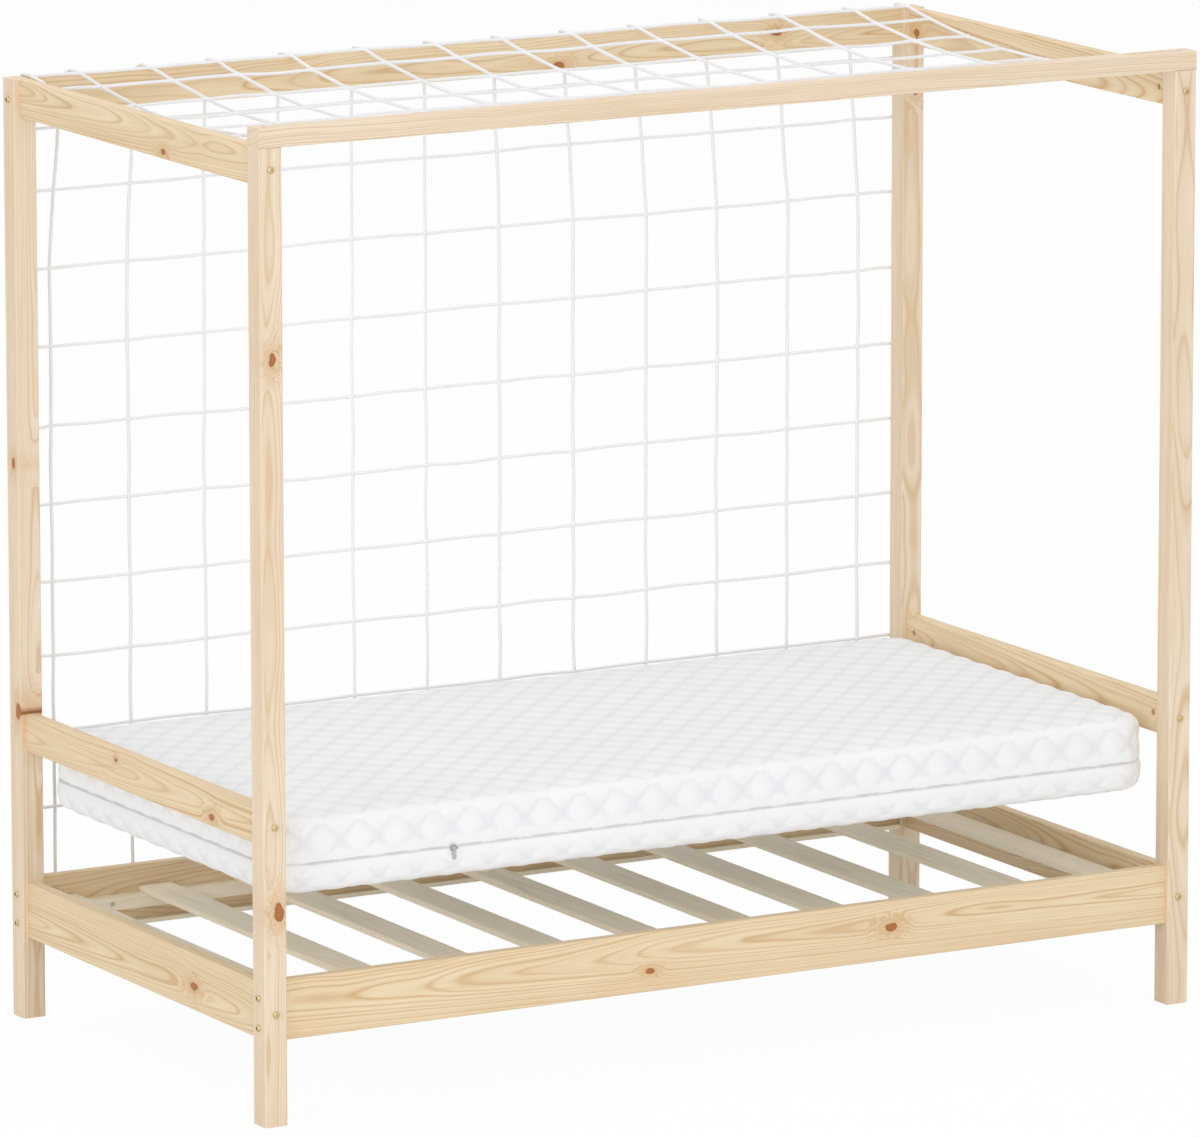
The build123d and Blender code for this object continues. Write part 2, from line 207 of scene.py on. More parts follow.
posts = {
    "early": colour(240, 225, 203),
    "late": colour(209, 173, 125),
    "ringWidth": 0.0030,
    "pithOffset": 0.048,
    "tilt": 0.010,
}
rails = {
    "early": colour(241, 223, 189),
    "late": colour(204, 163, 110),
    "ringWidth": 0.0034,
    "pithOffset": 0.040,
    "tilt": 0.028,
}
# slats: pale pine whose colours are made paler still as painted light, to make up for the mattress's shade
# on them
slats = {
    "early": colour(254, 246, 228),
    "late": colour(238, 220, 186),
    "ringWidth": 0.0040,
    "pithOffset": 0.040,
    "tilt": 0.020,
}
grain = {
    "bend": 0.026,
    "bendScale": 2.6,
    "bendDetail": 2.0,
    "unevenness": 1.6,
    "unevenStretch": 0.6,
    "unevenScale": 0.9,
    "unevenDetail": 2.0,
    "ringStops": ((0.0, 0.25), (1.0, 0.2), (0.2, 0.0), (0.6, 0.25), (0.85, 1.0)),
    "strengthStops": ((0.3, 0.25), (0.62, 0.85)),
    "fibreScales": (12.0, 700.0),
    "fibreStops": ((0.4, 0.0), (0.8, 0.3)),
    "patchScales": (2.2, 26.0),
    "patchStops": ((0.35, 0.0), (0.75, 0.3)),
    "streakDetail": 3.0,
    "ringRelief": 0.5,
    "fibreRelief": 0.5,
    "seedStep": 1.37,
    "pithShare": 0.35,
    "pithTurn": 2.4,
    "roughness": 0.52,
    "specular": 0.35,
    "bump": 0.25,
    "bumpDepth": 0.0004,
}
knot = {
    "core": colour(186, 120, 66),
    "rim": colour(132, 78, 40),
    "halo": colour(206, 152, 92),
    "haloShare": 0.5,
    "stretch": 1.7,
    "push": 0.012,
    "swellFall": -0.16,
    "raggedBase": 0.5,
    "raggedScale": 90.0,
    "raggedDetail": 2.0,
    "waves": 16.0,
    "waveShare": 0.12,
    "coreShade": 0.25,
    "rimPower": 6.0,
    "edgeStops": ((0.85, 1.0), (1.0, 0.0)),
    "farAway": 99.0,
}

# Each knot is a face's own crossways direction, the places along and across it, and a radius
boardKnots = {
    "post_front_left": [("across", 1.190, -0.8165, 0.0062), ("across", 0.3350, -0.8115, 0.0088)],
    "post_back_left": [("depth", 0.900, 0.4100, 0.0060), ("depth", 0.500, 0.4020, 0.0085)],
    "post_back_right": [("across", 1.375, 0.8200, 0.0050)],
    "side_rail_front": [("depth", 0.2860, 0.1850, 0.0068), ("depth", -0.1530, 0.1650, 0.0048)],
    "end_rail_bottom_left": [("depth", -0.1800, 0.1700, 0.0065)],
    "end_rail_middle_left": [("depth", -0.2450, 0.4500, 0.0055), ("depth", 0.0800, 0.4800, 0.0030)],
    "end_rail_top_left": [("depth", -0.1000, 1.4650, 0.0050)],
    "end_rail_top_right": [("depth", 0.3700, 1.4760, 0.0060)],
    "rail_top_back": [("depth", 0.1500, 1.4650, 0.0060), ("depth", 0.5600, 1.4900, 0.0060)],
}


def makeKnotGroup(values):
    labels = ("Length", "Cross", "Spot", "Height", "Size", "Nearest", "Swell")
    tree, given, made = newGroup("knot", labels, ("Nearest", "Swell"))
    gapA = calc(tree, "DIVIDE", calc(tree, "SUBTRACT", given["Length"], given["Spot"]), values["stretch"])
    gapB = calc(tree, "SUBTRACT", given["Cross"], given["Height"])
    gap = calc(tree, "SQRT", calc(tree, "ADD", squared(tree, gapA), squared(tree, gapB)))
    place = addNode(tree, "CombineXYZ", {0: given["Length"], 1: given["Cross"], 2: given["Spot"]})
    ragged = addNoise(tree, place.outputs[0], values["raggedScale"], values["raggedDetail"])
    radius = calc(tree, "MULTIPLY", given["Size"], calc(tree, "ADD", ragged, values["raggedBase"]))
    reach = calc(tree, "DIVIDE", gap, radius)
    swell = calc(tree, "EXPONENT", calc(tree, "MULTIPLY", squared(tree, reach), values["swellFall"]))
    tree.links.new(calc(tree, "MINIMUM", given["Nearest"], reach), made["Nearest"])
    tree.links.new(calc(tree, "MAXIMUM", given["Swell"], swell), made["Swell"])
    return tree


def addStreaks(tree, axes, scales, detail):
    length, across, depth = axes
    along, cross = scales
    place = addNode(tree, "CombineXYZ", {
        0: calc(tree, "MULTIPLY", length, along),
        1: calc(tree, "MULTIPLY", across, cross),
        2: calc(tree, "MULTIPLY", depth, cross),
    })
    return addNoise(tree, place.outputs[0], 1.0, detail)


# A knot's orange surround, its own rings and its dark rim
def addKnotTint(tree, given, tint, values):
    halo = calc(tree, "MULTIPLY", given["Swell"], values["haloShare"])
    tint = blendColours(tree, halo, tint, values["halo"])
    waves = calc(tree, "SINE", calc(tree, "MULTIPLY", given["Nearest"], values["waves"]))
    inner = calc(tree, "MULTIPLY_ADD", waves, values["waveShare"], values["coreShade"])
    dark = calc(tree, "ADD", inner, calc(tree, "POWER", given["Nearest"], values["rimPower"]))
    knotTint = blendColours(tree, dark, values["core"], values["rim"])
    return blendColours(tree, ramp(tree, given["Nearest"], *values["edgeStops"]), tint, knotTint)


def makePineGroup(values, knotValues):
    labels = ("Length", "Across", "Depth", "Seed", "Pith A", "Pith B", "Tilt", "Width",
              "Nearest", "Swell", "Early", "Late")
    tree, given, made = newGroup("pine", labels, ("Tint", "Height"))
    length, across, depth = given["Length"], given["Across"], given["Depth"]

    # the board's slow bends, then its distance from the pith
    slow = addNode(tree, "CombineXYZ", {0: length, 1: across, 2: depth})
    settings = {"Vector": slow.outputs[0], "W": given["Seed"], "Scale": values["bendScale"],
                "Detail": values["bendDetail"]}
    bends = addNode(tree, "TexNoise", settings, noise_dimensions="4D").outputs[0]
    bend = calc(tree, "MULTIPLY", calc(tree, "SUBTRACT", bends, 0.5), values["bend"])
    lean = calc(tree, "MULTIPLY_ADD", length, given["Tilt"], bend)
    sideA = calc(tree, "ADD", calc(tree, "SUBTRACT", across, given["Pith A"]), lean)
    sideB = calc(tree, "ADD", calc(tree, "SUBTRACT", depth, given["Pith B"]), bend)
    radius = calc(tree, "SQRT", calc(tree, "ADD", squared(tree, sideA), squared(tree, sideB)))
    radius = calc(tree, "MULTIPLY_ADD", given["Swell"], knotValues["push"], radius)

    # one growth ring: pale early wood that darkens, then a sharp edge
    rings = calc(tree, "DIVIDE", radius, given["Width"])
    stretched = calc(tree, "MULTIPLY", length, values["unevenStretch"])
    place = addNode(tree, "CombineXYZ", {0: stretched, 1: rings, 2: given["Seed"]})
    uneven = addNoise(tree, place.outputs[0], values["unevenScale"], values["unevenDetail"])
    ring = calc(tree, "FRACT", calc(tree, "MULTIPLY_ADD", uneven, values["unevenness"], rings))
    ringShade = ramp(tree, ring, *values["ringStops"])
    strong = calc(tree, "MULTIPLY", ringShade, ramp(tree, uneven, *values["strengthStops"]))

    # fine fibres and broad patches along the board
    axes = (length, across, depth)
    fibres = addStreaks(tree, axes, values["fibreScales"], values["streakDetail"])
    patches = addStreaks(tree, axes, values["patchScales"], values["streakDetail"])
    tint = blendColours(tree, strong, given["Early"], given["Late"])
    tint = blendColours(tree, ramp(tree, patches, *values["patchStops"]), tint, given["Late"])
    tint = blendColours(tree, ramp(tree, fibres, *values["fibreStops"]), tint, given["Late"])
    tree.links.new(addKnotTint(tree, given, tint, knotValues), made["Tint"])
    relief = calc(tree, "MULTIPLY", fibres, values["fibreRelief"])
    tree.links.new(calc(tree, "MULTIPLY_ADD", strong, values["ringRelief"], relief), made["Height"])
    return tree


knotGroup = makeKnotGroup(knot)
pineGroup = makePineGroup(grain, knot)


def pine(name, along, look, pith, seed, knots=()):
    material, tree, shader = newMaterial(
        name, Roughness=grain["roughness"], Specular_IOR_Level=grain["specular"])
    split = addNode(tree, "SeparateXYZ", {0: objectPlace(tree)})
    order = {"x": (0, 1, 2), "y": (1, 0, 2), "z": (2, 0, 1)}[along]
    length, across, depth = [split.outputs[axis] for axis in order]
    nearest, swell = knot["farAway"], 0.0
    for direction, spot, height, size in knots:
        made = addNode(tree, "Group", node_tree=knotGroup)
        given = {"Length": length, "Cross": across if direction == "across" else depth, "Spot": spot,
                 "Height": height, "Size": size, "Nearest": nearest, "Swell": swell}
        for label, value in given.items():
            setInput(tree, made.inputs[label], value)
        nearest, swell = made.outputs["Nearest"], made.outputs["Swell"]
    given = {"Length": length, "Across": across, "Depth": depth, "Seed": seed * grain["seedStep"],
             "Pith A": pith[0], "Pith B": pith[1],
             "Tilt": look["tilt"] * (1 if seed % 2 else -1), "Width": look["ringWidth"],
             "Nearest": nearest, "Swell": swell, "Early": look["early"], "Late": look["late"]}
    wood = addNode(tree, "Group", node_tree=pineGroup)
    for label, value in given.items():
        setInput(tree, wood.inputs[label], value)
    setTint(tree, shader, wood.outputs["Tint"])
    addBump(tree, shader, wood.outputs["Height"], grain["bump"], grain["bumpDepth"])
    return material


def boardLook(node):
    if node.startswith("post") or node == "crossbar_front":
        return posts
    return slats if node.startswith("slat") or node == "side_rail_lath" else rails


def finishBoards(values):
    starts = ("post", "crossbar_front", "end_rail", "side_rail", "rail_top", "slat")
    boards = [name for name in nodes if name.startswith(starts)]
    boards = sorted(name for name in boards if not name.endswith(("bolts", "nuts", "screws")))
    for number, name in enumerate(boards, start=1):
        low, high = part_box(name)
        axis = max(range(3), key=lambda way: (high - low)[way])
        look = boardLook(name)
        crossways = [way for way in range(3) if way != axis]
        pith = [((low + high) / 2)[way] for way in crossways]
        thin = min(range(2), key=lambda side: (high - low)[crossways[side]])
        pith[thin] += look["pithOffset"] * (1 if number % 2 else -1)
        pith[1 - thin] += look["pithOffset"] * values["pithShare"] * math.sin(number * values["pithTurn"])
        material = pine(name + "_pine", "xyz"[axis], look, pith, number, boardKnots.get(name, ()))
        assign(nodes[name], material)
    return boards


print("house bed: boards,", len(finishBoards(grain)))


# Metal: bolts with rounded heads and hexagon sockets, nuts, screws and cup hooks

flecked = {
    "scale": 600.0,
    "detail": 3.0,
    "darkAt": 0.3,
    "paleAt": 0.7,
    "dark": 0.8,
    "bump": 0.15,
    "bumpDepth": 0.0002,
}
fasteners = {
    "zincYellow": colour(222, 202, 156),
    "yellowRoughness": 0.32,
    "zincPale": colour(206, 200, 184),
    "paleRoughness": 0.35,
    "dowelSeed": 5,
}
bolts = {
    "socketFlat": 0.0025,
    "socketDepth": 0.0024,
    "headRim": 0.0055,
    "headHeight": 0.0035,
    "headProfile": ((0.82, 1.0), (0.93, 0.9), (0.99, 0.7), (1.0, 0.0)),
    "shank": 0.003,
    "shankLength": 0.06,
    "segments": 24,
    "twist": 3,
    "twistScale": 7,
    "splitAngle": 35,
    "endHeights": (0.176, 0.468),
    "frontTopHeight": 1.481,
    "backTopHeight": 1.465,
    "backRailHeight": 1.481,
    "sideHeights": (0.1535, 0.2005),
}
hooks = {
    "enamel": colour(236, 236, 236),
    "roughness": 0.4,
    "wire": 0.0015,
    "sides": 2,
    "pitch": 0.39,
    "eachSide": 2,
    "barHeight": 1.519,
    "barReach": 0.0085,
    "railHeight": 0.1442,
    "sunk": 0.01,
    "beforeTip": 0.001,
    "bend": 0.002,
}


def metal(name, tint, roughness, metallic=1.0):
    material, tree, shader = newMaterial(name, Metallic=metallic, Roughness=roughness)
    flecks = addNoise(tree, objectPlace(tree), flecked["scale"], flecked["detail"])
    dark = darker(tint, flecked["dark"])
    setTint(tree, shader, ramp(tree, flecks, (flecked["darkAt"], dark), (flecked["paleAt"], tint)))
    addBump(tree, shader, flecks, flecked["bump"], flecked["bumpDepth"])
    return material


def addRings(bm, spot, rings, segments):
    loops = []
    for radius, height in rings:
        loop = []
        for step in range(segments):
            angle = math.tau * step / segments
            reach = radius(angle) if callable(radius) else radius
            place = Vector((reach * math.cos(angle), reach * math.sin(angle), height))
            loop.append(bm.verts.new(spot @ place))
        loops.append(loop)
    for first, second in zip(loops, loops[1:]):
        for step in range(segments):
            following = (step + 1) % segments
            bm.faces.new((first[step], first[following], second[following], second[step]))
    bm.faces.new(list(reversed(loops[0])))
    bm.faces.new(loops[-1])


# Each ring's radius and height, from the socket's floor over the head to the shank's end
def boltRings(values):
    def hexagon(angle):
        return values["socketFlat"] / math.cos((angle % (math.pi / 3)) - math.pi / 6)

    rim, top, shank = values["headRim"], values["headHeight"], values["shank"]
    rings = [(hexagon, top - values["socketDepth"]), (hexagon, top)]
    rings += [(rim * width, top * height) for width, height in values["headProfile"]]
    return rings + [(shank, 0.0), (shank, -values["shankLength"])]


def boltPlaces(name, values):
    low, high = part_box("post_back_right")
    postX, postY = (low.x + high.x) / 2, (low.y + high.y) / 2
    places = []
    for x in (-1, 1):
        for y in (-1, 1):
            if name == "end_rail_bolts":
                top = values["backTopHeight"] if y > 0 else values["frontTopHeight"]
                heights = (*values["endHeights"], top)
                places += [Vector((x * postX, y * high.y, height)) for height in heights]
            elif name == "side_rail_bolts":
                places += [Vector((x * high.x, y * postY, height)) for height in values["sideHeights"]]
            elif y > 0:
                places.append(Vector((x * high.x, postY, values["backRailHeight"])))
    return places


def makeBolts(name, values, material):
    bm = bmesh.new()
    for spot in boltPlaces(name, values):
        if name == "end_rail_bolts":
            outward = Vector((0, math.copysign(1, spot.y), 0))
        else:
            outward = Vector((math.copysign(1, spot.x), 0, 0))
        turn = outward.to_track_quat("Z", "X").to_matrix().to_4x4()
        twist = Matrix.Rotation(noise(spot * values["twistScale"]) * values["twist"], 4, "Z")
        addRings(bm, Matrix.Translation(spot) @ turn @ twist, boltRings(values), values["segments"])
    piece = makePiece(name + "_detailed", bm, material, "frame")
    piece.modifiers.new("edges", "EDGE_SPLIT").split_angle = math.radians(values["splitAngle"])
    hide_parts(name)


def finishFasteners(values):
    zincYellow = metal("zinc_yellow", values["zincYellow"], values["yellowRoughness"])
    zincPale = metal("zinc_pale", values["zincPale"], values["paleRoughness"])
    for name in nodes:
        if name.endswith("nuts"):
            assign(nodes[name], zincYellow)
        elif name.endswith("screws"):
            assign(nodes[name], zincPale)
    for name in ("end_rail_bolts", "side_rail_bolts", "back_rail_bolts"):
        makeBolts(name, bolts, zincYellow)
    assign(nodes["crossbar_dowels"], pine("dowel_beech", "z", rails, (0, 0), values["dowelSeed"]))


def tubeMesh(name, lines, radius, sides):
    curve = bpy.data.curves.new(name, "CURVE")
    curve.dimensions = "3D"
    curve.bevel_depth = radius
    curve.bevel_resolution = sides
    curve.resolution_u = 3
    curve.use_fill_caps = True
    for line in lines:
        spline = curve.splines.new("NURBS")
        spline.points.add(len(line) - 1)
        for point, at in zip(spline.points, line):
            point.co = (*at, 1.0)
        spline.order_u = 3
        spline.use_endpoint_u = True
    holder = bpy.data.objects.new(name + "_curve", curve)
    bm = bmesh.new()
    bm.from_mesh(bpy.data.meshes.new_from_object(holder))
    bpy.data.objects.remove(holder)
    return bm


# The front hem's hooks turn up from the bar, the lower hem's turn down from the side rail
def makeHooks(values):
    low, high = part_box("net_hooks")
    wire = values["wire"]
    barFace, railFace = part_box("crossbar_front")[1].y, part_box("side_rail_back")[1].y
    rows = (
        (barFace, values["barHeight"], barFace + values["barReach"], high.z - wire),
        (railFace, values["railHeight"], high.y - wire, low.z + wire),
    )
    lines = []
    for face, level, tip, end in rows:
        bend = math.copysign(values["bend"], end - level)
        for step in range(-values["eachSide"], values["eachSide"] + 1):
            x = step * values["pitch"]
            places = ((face - values["sunk"], level), ((face + tip) / 2, level),
                      (tip - values["beforeTip"], level), (tip, level + bend), (tip, end))
            lines.append([Vector((x, y, z)) for y, z in places])
    bm = tubeMesh("hooks", lines, wire, values["sides"])
    enamel = metal("white_enamel", values["enamel"], values["roughness"], metallic=0.0)
    piece = makePiece("cup_hooks", bm, enamel, "frame")
    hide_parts("net_hooks")


finishFasteners(fasteners)
makeHooks(hooks)
print("house bed: fasteners")


# Net: one white cord each way at every row, knotted where they cross. Rows are counted
# from the front hem, over the back top rail and down to the lower hem.

net = {
    "cord": 0.0054,
    "cordSides": 1,
    "knot": 0.0043,
    "railX": (-0.804, -0.720, -0.594, -0.476, -0.345, -0.211, -0.082,
              0.042, 0.167, 0.294, 0.428, 0.562, 0.702, 0.804),
    "backX": (-0.804, -0.757, -0.619, -0.483, -0.347, -0.214, -0.079,
              0.057, 0.195, 0.332, 0.466, 0.601, 0.736, 0.804),
    "topY": (-0.392, -0.274, -0.156, -0.019, 0.095, 0.203, 0.322, 0.394),
    "backZ": (1.427, 1.328, 1.203, 1.076, 0.948, 0.822, 0.697, 0.5775, 0.455, 0.332, 0.210, 0.1425),
    "frontHeight": 1.5225,
    "sag": 0.038,
    "railClear": 0.0008,
    "railEase": 0.006,
    "railDip": 0.0003,
    "railDrop": 0.007,
    "turnRow": 8,
    "turnRows": 4,
    "wander": 0.0025,
    "wanderX": (3.1, 1.7, 0.3),
    "wanderZ": (2.3, 2.9, 4.1),
    "bow": 0.003,
    "bowScale": 9.0,
    "bowShare": 0.35,
    "knotShare": 0.08,
    "shortSpan": 0.02,
    "pale": colour(250, 250, 251),
    "shade": colour(234, 234, 236),
    "roughness": 0.8,
    "sheen": 0.25,
    "strandScale": 160.0,
    "strandDistortion": 1.5,
    "strandDetail": 1.0,
    "bump": 0.4,
    "bumpDepth": 0.0005,
}


def makeCordMaterial(values):
    material, tree, shader = newMaterial(
        "braided_cord", Roughness=values["roughness"], Sheen_Weight=values["sheen"])
    settings = {"Vector": objectPlace(tree), "Scale": values["strandScale"],
                "Distortion": values["strandDistortion"], "Detail": values["strandDetail"]}
    weave = addNode(tree, "TexWave", settings, bands_direction="DIAGONAL").outputs[1]
    setTint(tree, shader, ramp(tree, weave, (0.0, values["shade"]), (1.0, values["pale"])))
    addBump(tree, shader, weave, values["bump"], values["bumpDepth"])
    return material


def netPath(values):
    backLow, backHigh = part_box("net_back")
    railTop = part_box("rail_top_back")[1].z + values["cord"] / 2 + values["railClear"]
    backY = (backLow.y + backHigh.y) / 2
    start, end = values["topY"][-1], values["topY"][0]
    path = []
    for y in values["topY"]:
        way = (start - y) / (start - end)
        rise = way * (values["frontHeight"] - railTop)
        path.append((y, railTop + rise - 4 * values["sag"] * way * (1 - way), "top"))
    path.append((backY - values["railEase"], railTop - values["railDip"], "rail"))
    path.append((backY, railTop - values["railDrop"], "rail"))
    return path + [(backY, z, "back") for z in values["backZ"]]


def wander(seeds, number, row, values):
    return noise((number * seeds[0], row * seeds[1], seeds[2])) * values["wander"]


def placeKnots(path, values):
    count = len(values["railX"])
    knots = {}
    for number in range(count):
        for row, (y, z, kind) in enumerate(path):
            drop = min(max(row - values["turnRow"], 0) / values["turnRows"], 1.0)
            x = values["railX"][number] * (1 - drop) + values["backX"][number] * drop
            hem = number in (0, count - 1) or kind == "rail" or row == len(path) - 1
            strayX = wander(values["wanderX"], number, row, values) * (not hem)
            strayZ = wander(values["wanderZ"], number, row, values) * (not hem)
            knots[number, row] = Vector((x + strayX, y, z + strayZ))
    return knots


# A cord's way from knot to knot, each span bowed a little to one side
def bowedRoute(line, values):
    near, middle = values["knotShare"], values["bowShare"]
    route = [line[0]]
    for first, second in zip(line, line[1:]):
        span = second - first
        if span.length < values["shortSpan"]:
            route.append(second)
            continue
        bow = noise(first * values["bowScale"]) * values["bow"]
        aside = Vector((0, 0, bow)) if abs(span.x) > abs(span.z) else Vector((bow, 0, 0))
        route += [first + span * near, first + span * middle + aside, first + span * (1 - middle) + aside,
                  second - span * near, second]
    return route


def makeNet(values):
    path = netPath(values)
    knots = placeKnots(path, values)
    count = len(values["railX"])
    crossRows = [row for row in range(len(path)) if path[row][2] != "rail"]
    lines = [[knots[number, row] for row in range(len(path))] for number in range(count)]
    lines += [[knots[number, row] for number in range(count)] for row in crossRows]
    routes = [bowedRoute(line, values) for line in lines]
    bm = tubeMesh("net", routes, values["cord"] / 2, values["cordSides"])
    for number in range(count):
        for row in crossRows:
            place = Matrix.Translation(knots[number, row])
            bmesh.ops.create_icosphere(bm, subdivisions=1, radius=values["knot"], matrix=place)
    piece = makePiece("net", bm, makeCordMaterial(values), "frame")
    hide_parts("net_top", "net_back")
    return piece


print("house bed: net,", len(makeNet(net).data.polygons), "faces")


# Mattress cover: one closed padded form, drawn in along the zip and quilted in diamonds

mattress = {
    "length": 1.600,
    "width": 0.792,
    "foot": 0.3465,
    "crown": 0.4675,
    "corner": 0.070,
    "cornerSegments": 8,
    "edge": 0.022,
    "edgeSegments": 4,
    "uprightRise": 0.01,
    "levelRise": 0.001,
    "flatNormal": 0.9,
    "voxel": 0.008,
    "pressure": 4.0,
    "quality": 4,
    "steps": 20,
    "cap": 0.0035,
    "heldBand": 0.6,
    "heldFoot": 0.002,
    "zipHeight": 0.395,
    "zipDraw": 0.0030,
    "zipReach": 0.008,
    "zipEase": 0.02,
    "diamond": 0.046,
    "puff": 0.0022,
    "turnNormal": 0.7,
    "turnEase": 0.25,
}
cover = {
    "fabric": colour(246, 247, 248),
    "fabricShade": colour(238, 240, 242),
    "fabricStops": (0.2, 0.75),
    # the quilting's grooves are painted this shade darker: painted shade where the padding dips
    "paintedGrooveShade": colour(229, 232, 236),
    "paintedGrooveStops": ((0.0, 0.8), (0.45, 0.0)),
    "roughness": 0.85,
    "sheen": 0.2,
    "rib": 0.0045,
    "ribShare": 0.25,
    "knitScale": 700.0,
    "knitShare": 0.5,
    "cloudScale": 5.0,
    "cloudDetail": 4.0,
    "cloudShare": 0.6,
    "bump": 0.35,
    "bumpDepth": 0.0006,
}
foam = {
    "dark": colour(214, 208, 186),
    "pale": colour(242, 238, 220),
    "paleAt": 0.6,
    "cellScale": 900.0,
    "roughness": 0.95,
    "bump": 0.5,
    "bumpDepth": 0.0006,
}


def makeCoverMaterial(values):
    material, tree, shader = newMaterial(
        "quilted_knit", Roughness=values["roughness"], Sheen_Weight=values["sheen"])
    place = objectPlace(tree)
    split = addNode(tree, "SeparateXYZ", {0: place})
    ribs = calc(tree, "SINE", calc(tree, "MULTIPLY", split.outputs[1], math.tau / values["rib"]))
    knit = addNode(tree, "TexVoronoi", {"Vector": place, "Scale": values["knitScale"]}).outputs[0]
    clouds = addNoise(tree, place, values["cloudScale"], values["cloudDetail"])
    weave = calc(tree, "MULTIPLY_ADD", ribs, values["ribShare"], knit)
    clouded = calc(tree, "MULTIPLY", clouds, values["cloudShare"])
    shade = calc(tree, "MULTIPLY_ADD", weave, values["knitShare"], clouded)
    darkAt, paleAt = values["fabricStops"]
    tint = ramp(tree, shade, (darkAt, values["fabricShade"]), (paleAt, values["fabric"]))
    # painted shade: the cover is tinted darker towards the quilting's grooves, where the padding is thin
    padding = addNode(tree, "Attribute", attribute_name="padding").outputs["Fac"]
    grooveShade = ramp(tree, padding, *values["paintedGrooveStops"])
    setTint(tree, shader, blendColours(tree, grooveShade, tint, values["paintedGrooveShade"]))
    addBump(tree, shader, weave, values["bump"], values["bumpDepth"])
    return material


def applyModifiers(piece):
    seen = piece.evaluated_get(bpy.context.evaluated_depsgraph_get())
    old = piece.data
    piece.data = bpy.data.meshes.new_from_object(seen)
    piece.modifiers.clear()
    bpy.data.meshes.remove(old)


def roundEdges(bm, edges, offset, segments):
    bmesh.ops.bevel(bm, geom=edges, offset=offset, offset_type="OFFSET", segments=segments,
                    profile=0.5, affect="EDGES", material=-1)


def blockForm(values):
    def rise(edge):
        return abs(edge.verts[0].co.z - edge.verts[1].co.z)

    bm = bmesh.new()
    bmesh.ops.create_cube(bm, size=1.0)
    height = values["crown"] - values["foot"]
    bmesh.ops.scale(bm, vec=(values["length"], values["width"], height), verts=bm.verts)
    bmesh.ops.translate(bm, vec=(0, 0, values["foot"] + height / 2), verts=bm.verts)
    upright = [edge for edge in bm.edges if rise(edge) > values["uprightRise"]]
    roundEdges(bm, upright, values["corner"], values["cornerSegments"])
    bm.normal_update()
    level = [edge for edge in bm.edges if rise(edge) < values["levelRise"]
             and any(abs(face.normal.z) > values["flatNormal"] for face in edge.link_faces)]
    roundEdges(bm, level, values["edge"], values["edgeSegments"])
    return bm


# Cloth blown up by pressure, held along the zip and underneath, then capped
def puffUp(piece, values):
    start = [vertex.co.copy() for vertex in piece.data.vertices]
    held = piece.vertex_groups.new(name="held")
    band = values["voxel"] * values["heldBand"]
    still = [index for index, place in enumerate(start)
             if abs(place.z - values["zipHeight"]) < band or place.z < values["foot"] + values["heldFoot"]]
    held.add(still, 1.0, "REPLACE")
    cloth = piece.modifiers.new("cloth", "CLOTH")
    cloth.settings.use_pressure = True
    cloth.settings.uniform_pressure_force = values["pressure"]
    cloth.settings.effector_weights.gravity = 0
    cloth.settings.vertex_group_mass = "held"
    cloth.settings.quality = values["quality"]
    cloth.point_cache.frame_end = values["steps"]
    for step in range(1, values["steps"] + 1):
        bpy.context.scene.frame_set(step)
    applyModifiers(piece)
    bpy.context.scene.frame_set(1)
    for vertex, place in zip(piece.data.vertices, start):
        move = vertex.co - place
        vertex.co = place + move * (values["cap"] / (move.length + values["cap"]))


def quilt(piece, values):
    halfX, halfY = values["length"] / 2, values["width"] / 2
    moves, padding = [], []
    for vertex in piece.data.vertices:
        place, normal = vertex.co, vertex.normal
        aboveZip = place.z - values["zipHeight"]
        if abs(normal.z) > values["turnNormal"]:
            first, second = place.x, place.y
        else:
            first = place.x if abs(place.y) / halfY > abs(place.x) / halfX else place.y
            second = aboveZip
        turnedA = (first + second) / math.sqrt(2) / values["diamond"]
        turnedB = (first - second) / math.sqrt(2) / values["diamond"]
        offA, offB = 2 * (turnedA % 1) - 1, 2 * (turnedB % 1) - 1
        puff = (1 - offA * offA) * (1 - offB * offB)
        flat = min(abs(abs(normal.z) - values["turnNormal"]) / values["turnEase"], 1.0)
        seam = min(abs(aboveZip) / values["zipEase"], 1.0)
        draw = values["zipDraw"] * math.exp(-(aboveZip / values["zipReach"]) ** 2)
        moves.append(normal * ((puff - 0.5) * values["puff"] * flat * seam - draw))
        padding.append(1 - (1 - puff) * flat * seam)
    for vertex, move in zip(piece.data.vertices, moves):
        vertex.co += move
    # padding is 1 on a puff and falls to 0 in the grooves; the cover's material paints shade from it
    piece.data.attributes.new("padding", "FLOAT", "POINT").data.foreach_set("value", padding)


def makeCover(values):
    piece = makePiece("mattress_cover", blockForm(values), makeCoverMaterial(cover), "mattress")
    remesh = piece.modifiers.new("voxels", "REMESH")
    remesh.mode = "VOXEL"
    remesh.voxel_size = values["voxel"]
    remesh.use_smooth_shade = True
    applyModifiers(piece)
    puffUp(piece, values)
    smooth = piece.modifiers.new("smooth", "SUBSURF")
    smooth.levels = 1
    smooth.render_levels = 1
    applyModifiers(piece)
    quilt(piece, values)
    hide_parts("mattress_cover_upper", "mattress_cover_lower")
    return piece


def makeFoam(values):
    material, tree, shader = newMaterial("foam", Roughness=values["roughness"])
    place = objectPlace(tree)
    cells = addNode(tree, "TexVoronoi", {"Vector": place, "Scale": values["cellScale"]}).outputs[0]
    setTint(tree, shader, ramp(tree, cells, (0.0, values["dark"]), (values["paleAt"], values["pale"])))
    addBump(tree, shader, cells, values["bump"], values["bumpDepth"])
    return material


print("house bed: mattress cover,", len(makeCover(mattress).data.polygons), "faces")
assign(nodes["mattress_core"], makeFoam(foam))


# Zip: a woven tape in the cover's fold with two interlocked rows of teeth, and a
# nickel slider with its pull

